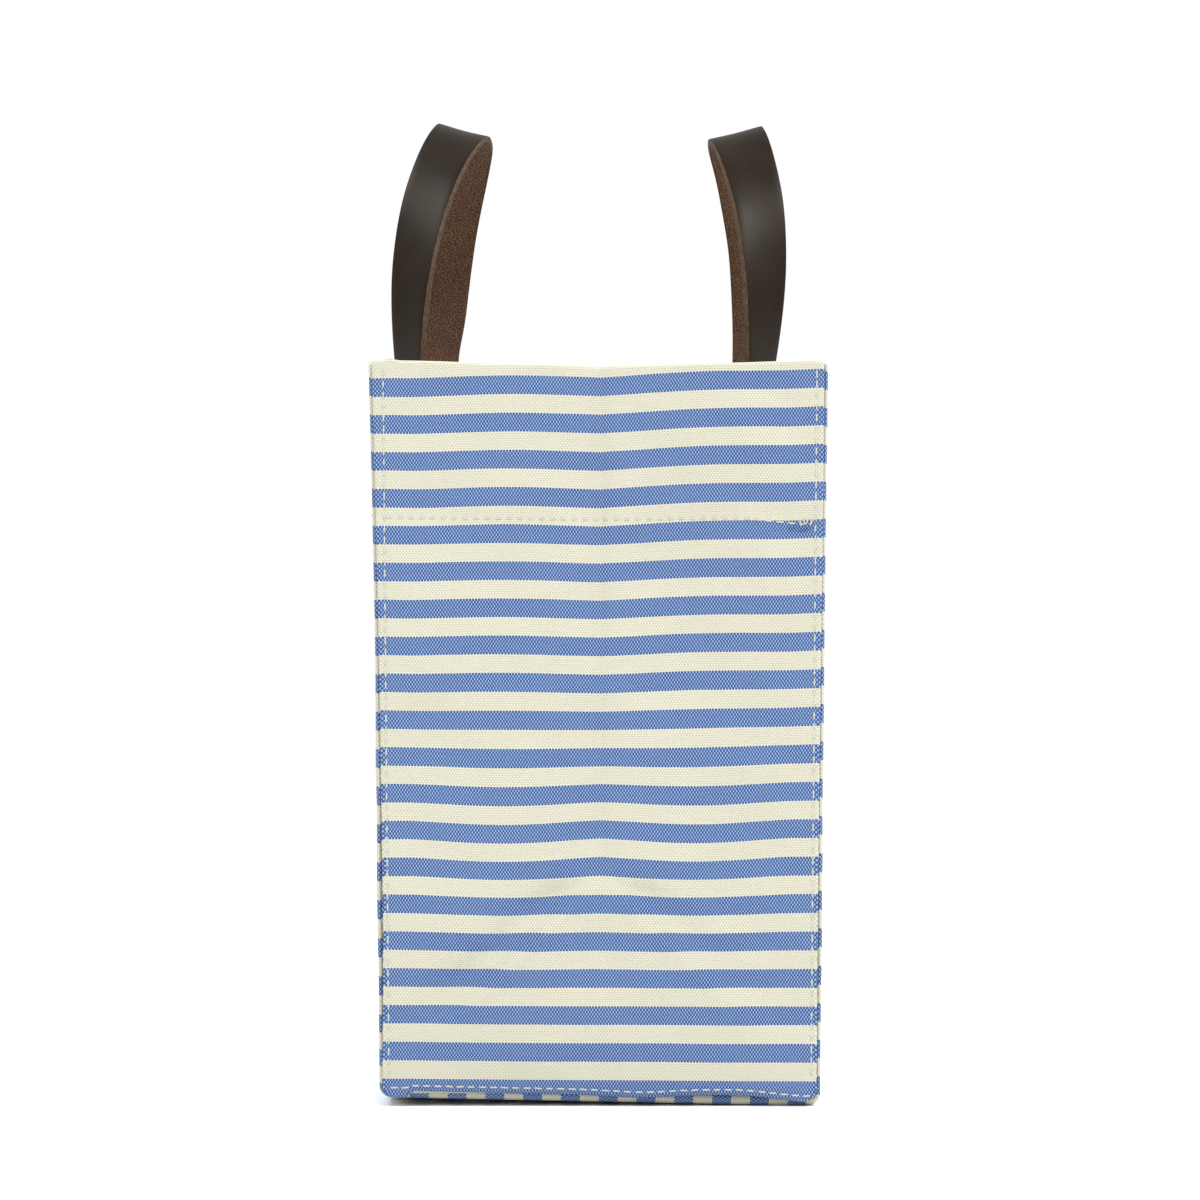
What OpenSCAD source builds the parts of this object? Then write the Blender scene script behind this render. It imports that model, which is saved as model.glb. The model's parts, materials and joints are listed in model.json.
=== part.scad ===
// Striped canvas mail sack with box gussets and two leather strap handles.
// The long side runs along Y and the front face looks along -X.
// The right-hand gusset is at -Y, and the base stands on z = 0.

/* [Bag] */
// Length of the bag along its wide faces
bag_length = 330; // [300:5:380]
// Depth of the bag across its gussets
bag_depth = 150; // [140:2:180]
// Height of the cloth from the base to the mouth
bag_height = 241; // [200:1:280]
// Thickness of the canvas
cloth = 0.8; // [0.6:0.1:1]
// Radius where the wide faces turn under into the base
base_radius = 4; // [3:0.5:8]

/* [Mouth] */
// How far the front face leans in at its right-hand strap
front_sag_right = 4.6; // [0:0.2:14]
// How far the front face leans in at its left-hand strap
front_sag_left = 12.6; // [0:0.2:14]
// How far the back face leans in at both straps
back_sag = 15.6; // [0:0.2:18]
// Height at which the faces begin to lean in
sag_foot = 40; // [20:5:90]
// How far the centre crease of each gusset is pushed in at the mouth
gusset_dip = 14; // [4:1:20]
// Depth of the hem facing inside the mouth
facing_height = 50; // [40:1:60]

/* [Handles] */
// Width of the leather strap
strap_width = 21; // [18:1:26]
// Thickness of the leather strap
strap_thickness = 2.5; // [2:0.25:4]
// Distance between the two legs of one handle
strap_spacing = 100; // [80:2:120]
// Height of the line above the mouth where the strap flexes
flex_lift = 5; // [5:0.5:8]
// Height of the handles above the mouth
handle_rise = 105; // [90:1:130]
// Distance of the handle tops from the middle of the bag
top_reach = 50; // [46:1:56]
// Angle at which each handle's top tips in towards the mouth, in degrees
top_bank = 18; // [0:1:25]
// Length of strap sewn down below the mouth
tail_length = 42; // [34:1:46]

/* [Seams] */
// Distance of the topstitching from the gusset's edges
stitch_inset = 4; // [3:0.5:6]
// Width of the sewing thread
thread = 0.6; // [0.4:0.1:0.8]
// Width of the tape that binds the inside seams
binding_width = 10; // [8:0.5:12]
// Thickness of the bound seam
binding_thickness = 1.8; // [1.2:0.1:2.4]

/* [Hidden] */

gap = 0.2;                       // between sheets that are sewn together
half_l = bag_length / 2;
half_d = bag_depth / 2;
front_sag = [front_sag_right, front_sag_left];
rear_sag = [back_sag, back_sag];

facing_face = cloth + gap;       // depth of the facing's outer side
strap_face = 2 * (cloth + gap);  // depth of the strap's outer side
strap_centre = strap_face + strap_thickness / 2;
flex_z = bag_height + flex_lift;
arch_top = bag_height + handle_rise - strap_width / 2 * sin(top_bank)
           - strap_thickness / 2 * cos(top_bank);
tail_top = bag_height + 1;
tail_foot = bag_height - tail_length;

leg_bulge = 2.4;                 // the legs bow outward between mouth and top
leg_tuck = 0.15;                 // the legs close in faster than a half ellipse
arch_power = 0.85;               // squares the arch
sewn_turn = 24;                  // how far the strap turns just above its sewn ends
sewn_power = 16;
strap_edge = 0.8;                // chamfer of the strap's edges

face_rows = 12;
face_columns = 24;
corner_steps = 4;
fold_rows = 8;                   // rows below the top of the gusset's triangular fold
upper_rows = 9;
fold_height = half_d - 2;        // the 45 degree creases meet here
gusset_foot = 0.4;
thread_height = 0.3;

canvas_colour = [0.52, 0.60, 0.76];
facing_colour = [0.62, 0.68, 0.80];
leather_colour = [0.23, 0.19, 0.16];
thread_colour = [0.93, 0.91, 0.83];
tape_colour = [0.86, 0.84, 0.76];

function span(a, b, n) = [for (i = [0:n]) a + (b - a) * i / n];
function reversed(v) = [for (i = [len(v) - 1:-1:0]) v[i]];
function unit(v) = v / norm(v);

// How far a wide face leans in at the mouth, from its lean at the two straps.
function sag_at(sag, y) =
    let (t = y / half_l, s = strap_spacing / bag_length)
    (1 - t * t) / (1 - s * s) * ((sag[0] + sag[1]) / 2 + (sag[1] - sag[0]) / 2 * t / s);

// The lean fades out towards sag_foot.
function lean_at(z) = pow(max(0, (min(z, bag_height) - sag_foot) / (bag_height - sag_foot)), 1.6);

// Distance of a wide face's outer side from the middle of the bag.
function face_x(sag, y, z) = half_d - sag_at(sag, y) * lean_at(z);

// How far a gusset is pushed in: its centre crease, above the two 45 degree creases.
function dip_at(x, z) =
    let (u = min(1, abs(x) / half_d), fold = fold_height * (1 - u))
    gusset_dip * (1 - u) * max(0, (z - fold) / (bag_height - fold));

// Skins a row of closed loops. Each loop runs up one side of the piece and back down the other.
// turn is the loop at which the cells change diagonal.
module sweep(loops, closed = false, turn = 0) {
    n = len(loops[0]);
    m = len(loops);
    sides = [
        for (j = [0:closed ? m - 1 : m - 2]) for (k = [0:n - 1])
            let (a = j * n + k,
                 b = j * n + (k + 1) % n,
                 c = (j + 1) % m * n + (k + 1) % n,
                 d = (j + 1) % m * n + k)
            each ((j < turn) != (k >= n / 2) ? [[a, b, c], [a, c, d]] : [[a, b, d], [b, c, d]])
    ];
    last = (m - 1) * n;
    ends = [
        for (k = [0:n / 2 - 2])
            each [[k + 1, k, n - 1 - k], [k + 1, n - 1 - k, n - 2 - k],
                  [last + k, last + k + 1, last + n - 1 - k],
                  [last + k + 1, last + n - 2 - k, last + n - 1 - k]]
    ];
    polyhedron(points = [for (loop = loops) each loop], faces = closed ? sides : concat(sides, ends));
}

// The outline of the wide faces and the base across the bag, at a depth below the outer side.
function body_outline(y, depth) =
    let (top = bag_height,
         heights = span(top, base_radius, face_rows),
         turn = span(180, 270, corner_steps),
         r = base_radius - depth,
         centre = half_d - base_radius)
    concat(
        [for (z = heights) [depth - face_x(front_sag, y, z), y, z]],
        [for (i = [1:corner_steps]) [-centre + r * cos(turn[i]), y, base_radius + r * sin(turn[i])]],
        [for (i = [corner_steps:-1:1]) [centre - r * cos(turn[i]), y, base_radius + r * sin(turn[i])]],
        [for (z = reversed(heights)) [face_x(rear_sag, y, z) - depth, y, z]]
    );

// Front face, base and back face are one length of cloth.
module body_panel() {
    end = half_l - cloth - gap;
    color(canvas_colour)
        sweep([for (y = span(-end, end, face_columns))
            concat(body_outline(y, 0), reversed(body_outline(y, cloth)))]);
}

// A point on the right-hand gusset, at a depth below its outer side.
function gusset_point(x, z, depth) = [x, -half_l + dip_at(x, z) + depth, z];

// The gusset's lower edge follows the rounded corners of the body.
function gusset_edge(x) =
    let (over = max(0, abs(x) - half_d + base_radius))
    gusset_foot + base_radius - sqrt(max(0, base_radius * base_radius - over * over));

module gusset() {
    edge_columns = [1, 0.985, 0.95];
    side = [for (u = edge_columns) u * half_d];
    inner = [for (i = [1:fold_rows]) half_d * (1 - i / fold_rows)];
    right = concat(side, inner);
    columns = concat([for (x = right) -x], [for (i = [len(right) - 2:-1:0]) right[i]]);
    rows = concat(span(0, fold_height, fold_rows),
                  [for (i = [1:upper_rows]) fold_height + (bag_height - fold_height) * i / upper_rows]);
    sweep([
        for (x = columns)
            let (foot = gusset_edge(x),
                 z = [for (row = rows) foot + row * (bag_height - foot) / bag_height])
            concat([for (h = z) gusset_point(x, h, 0)],
                   [for (h = reversed(z)) gusset_point(x, h, cloth)])
    ], turn = len(right) - 1);
}

module gusset_right() {
    color(canvas_colour) gusset();
}

module gusset_left() {
    color(canvas_colour) mirror([0, 1, 0]) gusset();
}

// The facing's run round the mouth, at one height and depth.
function mouth_ring(z, depth) =
    let (l = half_l - depth, d = half_d - depth, inner_l = l - gap / 2)
    concat(
        [for (t = span(-1, 1, face_columns)) [depth - face_x(front_sag, t * l, z), t * l, z]],
        [for (i = [-15:15]) [d * i / 16, inner_l - dip_at(d * i / 16, z), z]],
        [for (t = span(1, -1, face_columns)) [face_x(rear_sag, t * l, z) - depth, t * l, z]],
        [for (i = [15:-1:-15]) [d * i / 16, dip_at(d * i / 16, z) - inner_l, z]]
    );

module mouth_facing() {
    row = (bag_height - base_radius) / face_rows;
    heights = [bag_height - facing_height - 1.5, bag_height - 2 * row, bag_height - row, bag_height - 0.4];
    outer = [for (z = heights) mouth_ring(z, facing_face)];
    inner = [for (z = reversed(heights)) mouth_ring(z, facing_face + cloth)];
    runs = concat(outer, inner);
    color(facing_colour)
        sweep([for (i = [len(outer[0]) - 1:-1:0]) [for (run = runs) run[i]]], closed = true);
}

// A ribbon on the right-hand gusset: down one side, along the base and up the other.
// Its edges are near and far from the gusset's own edge, and it lies between two depths.
module gusset_ribbon(near, far, top, from, to) {
    side = span(top, gusset_foot + far, 10);
    low = [for (i = [-5:5]) i / 6];
    pairs = concat(
        [for (i = [0:10]) let (z = i < 10 ? side[i] : gusset_foot + near)
            [[-half_d + near, z], [-half_d + far, side[i]]]],
        [for (u = low) [[u * (half_d - near), gusset_foot + near], [u * (half_d - far), gusset_foot + far]]],
        [for (i = [10:-1:0]) let (z = i < 10 ? side[i] : gusset_foot + near)
            [[half_d - near, z], [half_d - far, side[i]]]]
    );
    sweep([
        for (pair = reversed(pairs))
            [gusset_point(pair[1][0], pair[1][1], from), gusset_point(pair[0][0], pair[0][1], from),
             gusset_point(pair[0][0], pair[0][1], to), gusset_point(pair[1][0], pair[1][1], to)]
    ]);
}

// The seam allowances are folded onto the gusset's inside and bound with tape.
module seam_binding() {
    inset = max(cloth + 2 * gap, base_radius - 1.5);
    color(tape_colour)
        gusset_ribbon(inset, inset + binding_width, bag_height - facing_height - 3,
                      facing_face, facing_face + binding_thickness);
}

module seam_binding_right() {
    seam_binding();
}

module seam_binding_left() {
    mirror([0, 1, 0]) seam_binding();
}

module gusset_stitching() {
    color(thread_colour)
        gusset_ribbon(stitch_inset, stitch_inset + thread, bag_height - 1, -gap - thread_height, -gap);
}

module gusset_right_stitching() {
    gusset_stitching();
}

module gusset_left_stitching() {
    mirror([0, 1, 0]) gusset_stitching();
}

// A point on the front face, at a depth below its outer side.
function face_point(sag, y, z, depth) = [depth - face_x(sag, y, z), y, z];

// A run of thread on the outside of the front face, through points given as [y, z].
module face_thread(sag, from, to, steps = 6) {
    along = unit(to - from);
    across = [-along[1], along[0]] * thread / 2;
    sweep([
        for (i = [0:steps])
            let (p = from + (to - from) * i / steps, a = p - across, b = p + across)
            [face_point(sag, a[0], a[1], -gap), face_point(sag, b[0], b[1], -gap),
             face_point(sag, b[0], b[1], -gap - thread_height),
             face_point(sag, a[0], a[1], -gap - thread_height)]
    ]);
}

// One row of stitches holds the foot of the facing on all four sides.
module facing_stitching() {
    z = bag_height - facing_height;
    end = half_l - 1.5;
    across = half_d - 2;
    edge = stitch_inset + 2;
    color(thread_colour) {
        face_thread(front_sag, [-end, z], [end, z], 16);
        mirror([1, 0, 0]) face_thread(rear_sag, [-end, z], [end, z], 16);
        for (m = [0, 1]) mirror([0, m, 0])
            sweep([
                for (x = span(half_d - edge, edge - half_d, 12))
                    [gusset_point(x, z, -gap), gusset_point(x, z + thread, -gap),
                     gusset_point(x, z + thread, -gap - thread_height),
                     gusset_point(x, z, -gap - thread_height)]
            ]);
    }
}

// Distance of a strap's centre from the middle of the bag, from the face's lean there.
function root_x(lean) = half_d - lean - strap_centre;

// The centre line of a front handle, from its right-hand leg over to its left-hand leg.
function arch_point(sag, s) =
    let (c = cos(180 * s), u = sin(180 * s),
         right = root_x(sag[0]), left = root_x(sag[1]), middle = (right + left) / 2,
         x = middle + (right - left) / 2 * c + (top_reach - middle) * u * u + leg_bulge * 4 * u * (1 - u))
    [-x, -strap_spacing / 2 * (c - leg_tuck * c * (1 - c * c)),
     flex_z + (arch_top - flex_z) * pow(u, arch_power)];

// The strap's section across the centre line: flat against the bag at the mouth, and turned at
// the top of the arch until it tips a little inward.
function strap_section(sag, s) =
    let (step = 0.001,
         along = unit(arch_point(sag, min(1, s + step)) - arch_point(sag, max(0, s - step))),
         across = unit([strap_spacing, root_x(sag[1]) - root_x(sag[0]), 0]),
         inward = unit(across - (across * along) * along),
         over = cross(inward, along),
         k = abs(2 * s - 1),
         turn = 90 - (90 - sewn_turn) * k - sewn_turn * pow(k, sewn_power) + top_bank * (1 - k * k),
         out = over * sin(turn) - inward * cos(turn),
         wide = cross(along, out),
         w = strap_width / 2,
         t = strap_thickness / 2,
         outline = [[-w, t - strap_edge], [strap_edge - w, t], [w - strap_edge, t], [w, t - strap_edge],
                    [w, strap_edge - t], [w - strap_edge, -t], [strap_edge - w, -t], [-w, strap_edge - t]])
    [for (p = outline) arch_point(sag, s) + p[0] * wide + p[1] * out];

module handle(sag) {
    color(leather_colour)
        sweep([for (s = span(1, 0, 56)) strap_section(sag, s)]);
}

module handle_front() {
    handle(front_sag);
}

module handle_back() {
    mirror([1, 0, 0]) handle(rear_sag);
}

// The two ends of one strap, sewn flat inside the mouth.
module tails(sag) {
    heights = span(tail_foot, tail_top, 6);
    color(leather_colour)
        for (side = [-1, 1])
            sweep([
                for (y = span(-strap_width / 2, strap_width / 2, 4))
                    concat([for (z = heights) face_point(sag, side * strap_spacing / 2 + y, z,
                                                         strap_face + strap_thickness)],
                           [for (z = reversed(heights)) face_point(sag, side * strap_spacing / 2 + y, z,
                                                                   strap_face)])
            ]);
}

module handle_front_tails() {
    tails(front_sag);
}

module handle_back_tails() {
    mirror([1, 0, 0]) tails(rear_sag);
}

// Box and cross stitching through the face, the facing and a strap's end.
module box_and_cross(sag, y) {
    margin = 3;
    side = strap_width / 2 - margin;
    low = tail_foot + margin;
    high = bag_height - margin;
    middle = (low + high) / 2;
    clear = thread;
    face_thread(sag, [y - side, low + clear], [y - side, high - clear]);
    face_thread(sag, [y + side, low + clear], [y + side, high - clear]);
    face_thread(sag, [y - side, low], [y + side, low]);
    face_thread(sag, [y - side, high], [y + side, high]);
    slope = unit([side, high - middle]);
    corner = [side, high - middle] - slope * 3 * clear;
    start = slope * 2 * clear;
    face_thread(sag, [y, middle] - corner, [y, middle] + corner);
    for (way = [-1, 1])
        face_thread(sag, [y, middle] + way * [-start[0], start[1]],
                    [y, middle] + way * [-corner[0], corner[1]]);
}

module handle_front_stitching() {
    color(thread_colour)
        for (side = [-1, 1]) box_and_cross(front_sag, side * strap_spacing / 2);
}

module handle_back_stitching() {
    color(thread_colour)
        mirror([1, 0, 0])
            for (side = [-1, 1]) box_and_cross(rear_sag, side * strap_spacing / 2);
}

body_panel();
gusset_right();
gusset_left();
mouth_facing();
seam_binding_right();
seam_binding_left();
gusset_right_stitching();
gusset_left_stitching();
facing_stitching();
handle_front();
handle_back();
handle_front_tails();
handle_back_tails();
handle_front_stitching();
handle_back_stitching();
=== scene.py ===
"""A striped canvas mail sack with leather strap handles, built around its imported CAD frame."""
import json
import math

import bpy
import numpy as np
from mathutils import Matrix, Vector


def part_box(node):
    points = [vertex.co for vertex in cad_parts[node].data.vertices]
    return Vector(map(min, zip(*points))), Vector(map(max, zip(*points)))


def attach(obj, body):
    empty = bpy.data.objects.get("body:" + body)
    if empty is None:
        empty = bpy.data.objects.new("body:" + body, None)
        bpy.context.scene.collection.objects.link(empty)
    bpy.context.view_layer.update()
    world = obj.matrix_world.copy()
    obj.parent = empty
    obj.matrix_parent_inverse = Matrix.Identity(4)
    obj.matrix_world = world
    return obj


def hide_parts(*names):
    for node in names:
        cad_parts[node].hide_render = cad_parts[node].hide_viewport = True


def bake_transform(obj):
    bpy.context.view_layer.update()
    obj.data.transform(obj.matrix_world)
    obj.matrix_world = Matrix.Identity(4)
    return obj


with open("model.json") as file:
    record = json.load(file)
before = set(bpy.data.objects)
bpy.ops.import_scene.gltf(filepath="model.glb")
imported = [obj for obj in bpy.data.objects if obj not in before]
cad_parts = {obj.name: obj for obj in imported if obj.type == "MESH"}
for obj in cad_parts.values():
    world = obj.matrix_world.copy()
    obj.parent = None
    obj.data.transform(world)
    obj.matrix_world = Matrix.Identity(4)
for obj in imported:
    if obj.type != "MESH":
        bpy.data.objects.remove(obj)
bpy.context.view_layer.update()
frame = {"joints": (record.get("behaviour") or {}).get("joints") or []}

MM = 0.001

# ---------------------------------------------------------------- sizes, from the frame
gusset_low, gusset_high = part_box("gusset_right")
HALF_L = -gusset_low.y                  # half the bag's length
HALF_D = gusset_high.x                  # half its depth at the mouth
MOUTH = gusset_high.z                   # height of the mouth
HINGE = {joint["child"]: np.array(joint["pos_m"]) for joint in frame["joints"]}
FLEX_Z = HINGE["handle_front"][2]       # the straps flex at this height
FACING_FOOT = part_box("facing_stitching")[0].z
TAIL_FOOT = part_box("handle_front_tails")[0].z

CLOTH = 0.8 * MM
STRAP_W = 21 * MM
STRAP_T = 2.5 * MM
STRAP_SPACING = 100 * MM
SAG_FOOT = 40 * MM
FRONT_SAG = (4.6 * MM, 12.6 * MM)       # lean of the front face at its two straps
BACK_SAG = (15.6 * MM, 15.6 * MM)
GUSSET_DIP = 14 * MM                    # the centre crease is pushed in at the mouth
BASE_NARROWER = 3.9 * MM                # each face stands this much further in at the base
BASE_RADIUS = 4 * MM
FOLD_HEIGHT = 73 * MM                   # apex of each gusset's triangular fold
FOLD_R = 0.85 * MM                      # radius of a turned edge, at the middle of the cloth

STRIPE_PERIOD = 11.92 * MM
ROWS_PER_PERIOD = 16
FIRST_BLUE = 237.9 * MM                 # top of the gusset's highest blue stripe
YARN_ACROSS = 0.5 * MM                  # pitch of the cream yarns that cross the stripes
YARN_ALONG = STRIPE_PERIOD / ROWS_PER_PERIOD

STITCH_PITCH = 3.6 * MM
STITCH_LENGTH = 2.7 * MM
THREAD_R = 0.27 * MM


# ---------------------------------------------------------------- mesh helpers
def unit(v):
    return v / np.maximum(np.linalg.norm(v, axis=-1, keepdims=True), 1e-12)


def stations(low, high, step, edge_band=0.0, edge_step=None):
    """Numbers from low to high, closer together within edge_band of both ends."""
    if not edge_step:
        return np.linspace(low, high, max(2, int(round((high - low) / step)) + 1))
    edge = np.linspace(0, edge_band, int(round(edge_band / edge_step)) + 1)
    middle = np.linspace(low + edge_band, high - edge_band,
                         max(2, int(round((high - low - 2 * edge_band) / step)) + 1))
    return np.concatenate([low + edge[:-1], middle, high - edge[-2::-1]])


def ripple(a, b, seed, size, count=7):
    """Smooth uneven waves between about -1 and 1; size is the typical wavelength."""
    draw = np.random.RandomState(seed)
    total = np.zeros(np.broadcast(a, b).shape)
    for _ in range(count):
        angle = draw.uniform(0, 2 * math.pi)
        wave = 2 * math.pi / (size * draw.uniform(0.7, 1.6))
        total += np.sin(wave * (math.cos(angle) * a + math.sin(angle) * b) + draw.uniform(0, 2 * math.pi))
    return total / math.sqrt(count * 2)


def bell(x, width):
    return np.exp(-(x / width) ** 2)


def step_up(x, low, high):
    t = np.clip((x - low) / (high - low), 0, 1)
    return t * t * (3 - 2 * t)


def run_length(points):
    """Distance along a line of points, from 0 at its first."""
    return np.concatenate([[0], np.cumsum(np.linalg.norm(np.diff(points, axis=0), axis=1))])


def grid_corners(along, across):
    """UV pairs for the face corners of a grid of quads, from its two scales."""
    uu, vv = np.meshgrid(along, across, indexing="ij")
    grid = np.stack([uu, vv], -1)
    return np.stack([grid[:-1, :-1], grid[:-1, 1:], grid[1:, 1:], grid[1:, :-1]], 2).reshape(-1, 2)


def ring_faces(index):
    """Quads over rows of vertex numbers, each row closed on itself."""
    ahead = np.roll(index, -1, axis=1)
    return np.stack([index[:-1], ahead[:-1], ahead[1:], index[1:]], -1).reshape(-1, 4)


def make_object(name, points, faces, uvs=None, layer="cloth", materials=(), face_material=None):
    """A mesh object from numpy points and quads; uvs holds one pair for each face corner."""
    mesh = bpy.data.meshes.new(name)
    faces = np.asarray(faces, np.int32)
    sides = faces.shape[1]
    mesh.vertices.add(len(points))
    mesh.vertices.foreach_set("co", np.asarray(points, np.float32).ravel())
    mesh.loops.add(faces.size)
    mesh.loops.foreach_set("vertex_index", faces.ravel())
    mesh.polygons.add(len(faces))
    mesh.polygons.foreach_set("loop_start", np.arange(0, faces.size, sides, dtype=np.int32))
    mesh.polygons.foreach_set("loop_total", np.full(len(faces), sides, np.int32))
    mesh.update(calc_edges=True)
    if uvs is not None:
        uv = mesh.uv_layers.new(name=layer)
        uv.data.foreach_set("uv", np.asarray(uvs, np.float32).ravel())
    for material in materials:
        mesh.materials.append(material)
    if face_material is not None:
        mesh.polygons.foreach_set("material_index", np.asarray(face_material, np.int32))
    mesh.polygons.foreach_set("use_smooth", np.ones(len(faces), bool))
    mesh.validate()
    obj = bpy.data.objects.new(name, mesh)
    bpy.context.scene.collection.objects.link(obj)
    return obj


def thicken(obj, thickness):
    """Cloth of this thickness, half of it on each side of the mesh."""
    solid = obj.modifiers.new("thickness", "SOLIDIFY")
    solid.thickness = thickness
    solid.offset = 0
    solid.use_even_offset = False
    return obj


def grid_normals(points):
    """Unit normals of a grid of points, from row direction cross column direction."""
    return unit(np.cross(np.gradient(points, axis=0), np.gradient(points, axis=1)))


def border(rows, columns):
    """Row and column numbers round the edge of a grid, and of each one's neighbour inside."""
    edge = [(0, j) for j in range(columns)]
    edge += [(i, columns - 1) for i in range(1, rows)]
    edge += [(rows - 1, j) for j in range(columns - 2, -1, -1)]
    edge += [(i, 0) for i in range(rows - 2, 0, -1)]
    edge = np.array(edge)
    inner = np.stack([np.clip(edge[:, 0], 1, rows - 2), np.clip(edge[:, 1], 1, columns - 2)], 1)
    return edge, inner


ROLL_STEPS = 6                          # faces round a rolled edge


def turned_sheet(name, points, uv, normals, radius, angle, tuck):
    """A sheet of canvas whose edges are rolled over towards its normals.

    radius, angle and tuck say how each point of the edge is rolled: its radius, how far round it
    goes, and how far it runs on from there. Each is a number or an array over the grid. The
    attribute "seam" rises to 1 where an edge turns into its seam; the canvas uses it for painted
    shade, standing in for the shadow in the seam's groove."""
    rows, columns = points.shape[:2]
    edge, inner = border(rows, columns)
    e, f = tuple(edge.T), tuple(inner.T)
    out = unit(points[e] - points[f])
    n = normals[e]
    out = unit(out - (out * n).sum(1, keepdims=True) * n)
    uv_out = unit(uv[e] - uv[f])
    r, a, t = (np.broadcast_to(x, (rows, columns))[e][:, None] for x in (radius, angle, tuck))
    rings, ring_uvs = [], []
    # painted shade: each point's share of the roll into the seam, which the canvas darkens as the groove's
    # shadow
    painted_seam_shades = [np.zeros(rows * columns)]
    for share in np.linspace(0, 1, ROLL_STEPS + 1)[1:]:
        turn = a * share
        painted_seam_shades.append(np.where(t > 0, np.minimum(turn / (math.pi / 2), 1), 0).ravel())
        rings.append(points[e] + out * r * np.sin(turn) + n * r * (1 - np.cos(turn)))
        ring_uvs.append(uv[e] + uv_out * r * turn)
    ahead = out * np.cos(a) + n * np.sin(a)
    for share in (0.5, 1.0):
        rings.append(rings[ROLL_STEPS - 1] + ahead * t * share)
        ring_uvs.append(ring_uvs[ROLL_STEPS - 1] + uv_out * t * share)
        painted_seam_shades.append(painted_seam_shades[ROLL_STEPS])
    index = np.arange(rows * columns).reshape(rows, columns)
    quads = np.stack([index[:-1, :-1], index[:-1, 1:], index[1:, 1:], index[1:, :-1]], -1).reshape(-1, 4)
    round_edge = np.arange(len(edge))
    loops = [index[e]] + [rows * columns + k * len(edge) + round_edge for k in range(len(rings))]
    strips = [np.stack([np.roll(near, -1), near, far, np.roll(far, -1)], 1)
              for near, far in zip(loops, loops[1:])]
    faces = np.concatenate([quads] + strips)
    all_points = np.concatenate([points.reshape(-1, 3)] + rings)
    all_uv = np.concatenate([uv.reshape(-1, 2)] + ring_uvs)
    obj = make_object(name, all_points, faces, all_uv[faces].reshape(-1, 2), materials=[CANVAS])
    seam = obj.data.attributes.new("seam", "FLOAT", "POINT")
    seam.data.foreach_set("value", np.concatenate(painted_seam_shades).astype(np.float32))
    return thicken(obj, CLOTH)


def tube_grid(sections):
    """Quads over a row of closed sections, each with the same number of points, and its two ends."""
    count, around = sections.shape[:2]
    index = np.arange(count * around).reshape(count, around)
    caps = []
    for ring, flip in ((index[0], False), (index[-1], True)):
        for k in range(around // 2 - 1):
            quad = [ring[k], ring[around - 1 - k], ring[around - 2 - k], ring[k + 1]]
            caps.append(quad[::-1] if flip else quad)
    return np.concatenate([ring_faces(index), np.array(caps)])


# ---------------------------------------------------------------- materials
class Graph:
    """A material whose nodes are made with short calls."""

    def __init__(self, name):
        self.material = bpy.data.materials.new(name)
        self.material.use_nodes = True
        self.tree = self.material.node_tree
        self.shader = self.tree.nodes["Principled BSDF"]

    def feed(self, socket, value):
        if isinstance(value, bpy.types.NodeSocket):
            self.tree.links.new(value, socket)
        else:
            socket.default_value = value

    def node(self, kind, inputs=(), **settings):
        made = self.tree.nodes.new(kind)
        for key, value in settings.items():
            setattr(made, key, value)
        for key, value in dict(inputs).items():
            self.feed(made.inputs[key], value)
        return made

    def math(self, operation, *values):
        return self.node("ShaderNodeMath", dict(enumerate(values)), operation=operation).outputs[0]

    def add(self, a, b):
        return self.math("ADD", a, b)

    def sub(self, a, b):
        return self.math("SUBTRACT", a, b)

    def mul(self, a, b):
        return self.math("MULTIPLY", a, b)

    def ramp(self, value, low, high, to_low=0.0, to_high=1.0):
        inputs = {0: value, 1: low, 2: high, 3: to_low, 4: to_high}
        return self.node("ShaderNodeMapRange", inputs).outputs[0]

    def mix(self, factor, a, b):
        made = self.node("ShaderNodeMix", {0: factor, 6: a, 7: b}, data_type="RGBA")
        return made.outputs[2]

    def scale_colour(self, colour, factor):
        made = self.node("ShaderNodeVectorMath", {0: colour}, operation="SCALE")
        self.feed(made.inputs["Scale"], factor)
        return made.outputs[0]

    def uv(self, layer):
        return self.node("ShaderNodeUVMap", uv_map=layer).outputs[0]

    def split(self, vector):
        made = self.node("ShaderNodeSeparateXYZ", {0: vector})
        return made.outputs[0], made.outputs[1]

    def join(self, x, y, z=0.0):
        return self.node("ShaderNodeCombineXYZ", {0: x, 1: y, 2: z}).outputs[0]

    def noise(self, vector, scale, detail=2.0, roughness=0.5):
        inputs = {"Vector": vector, "Scale": scale, "Detail": detail, "Roughness": roughness}
        return self.node("ShaderNodeTexNoise", inputs).outputs[0]

    def pores(self, vector, scale):
        inputs = {"Vector": vector, "Scale": scale}
        return self.node("ShaderNodeTexVoronoi", inputs, feature="F1").outputs["Distance"]

    def finish(self, colour, roughness, height, distance, strength=1.0, **fixed):
        self.feed(self.shader.inputs["Base Color"], colour)
        self.feed(self.shader.inputs["Roughness"], roughness)
        for key, value in fixed.items():
            self.shader.inputs[key.replace("_", " ")].default_value = value
        bump = self.node("ShaderNodeBump", {"Height": height, "Distance": distance, "Strength": strength})
        self.tree.links.new(bump.outputs[0], self.shader.inputs["Normal"])
        return self.material


def rgb(red, green, blue):
    """A display colour from 0 to 255 as the linear colour that the nodes use."""
    def linear(c):
        c /= 255
        return c / 12.92 if c <= 0.04045 else ((c + 0.055) / 1.055) ** 2.4
    return (linear(red), linear(green), linear(blue), 1.0)


BLUE_YARN = rgb(36, 64, 119)
BLUE_YARN_WORN = rgb(46, 76, 129)
CREAM_YARN = rgb(190, 188, 171)
CREAM_YARN_DULL = rgb(181, 179, 161)
CROSS_YARN_ON_BLUE = rgb(138, 159, 187)
SPECK = rgb(134, 106, 74)


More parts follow.
